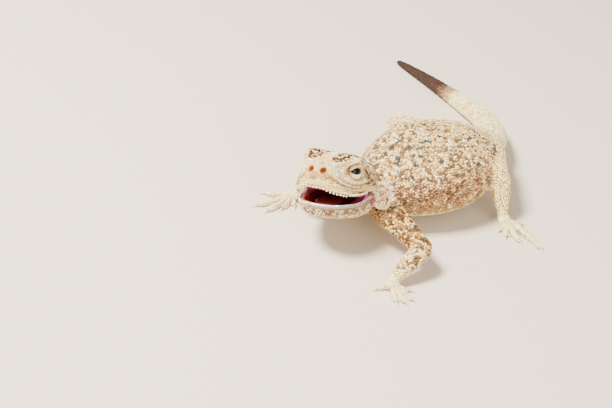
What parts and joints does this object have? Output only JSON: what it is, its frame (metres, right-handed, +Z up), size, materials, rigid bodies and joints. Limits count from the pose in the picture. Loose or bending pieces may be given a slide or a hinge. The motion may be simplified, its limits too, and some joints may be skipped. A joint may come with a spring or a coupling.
{
  "type": "secret toad-headed agama model",
  "caption": "Life-size still model of a squat sand lizard on its feet: broad round body, short wide head raised, mouth open with fringed flaps at its corners, tail laid to one side.",
  "frame": {"origin": "middle of the model's footprint, on the floor", "axes": "+Z up, -Y the way the trunk's front faces, +X the animal's left"},
  "size_m": [0.13, 0.1391, 0.0359],
  "materials": {
    "sand_skin": "painted resin with fine scales, sand colour with grey and brown flecks",
    "pale_skin": "painted resin with fine scales, cream",
    "black_skin": "painted resin with fine scales, brown-black",
    "mouth_lining": "moist dark red",
    "eye": "polished dark brown"
  },
  "bodies": {
    "root": {"head": "sand_skin", "lower_jaw": "sand_skin", "tongue": "mouth_lining", "eye_left": "eye", "eye_right": "eye", "mouth_flap_left": "pale_skin", "mouth_flap_right": "pale_skin", "neck": "sand_skin", "torso": "sand_skin", "tail_base": "sand_skin", "tail_middle": "sand_skin", "tail_tip": "black_skin", "upper_arm_left": "sand_skin", "upper_arm_right": "sand_skin", "forearm_left": "sand_skin", "forearm_right": "sand_skin", "hand_left": "pale_skin", "hand_right": "pale_skin", "thigh_left": "sand_skin", "thigh_right": "sand_skin", "shin_left": "sand_skin", "shin_right": "sand_skin", "foot_left": "pale_skin", "foot_right": "pale_skin"}
  },
  "joints": []
}
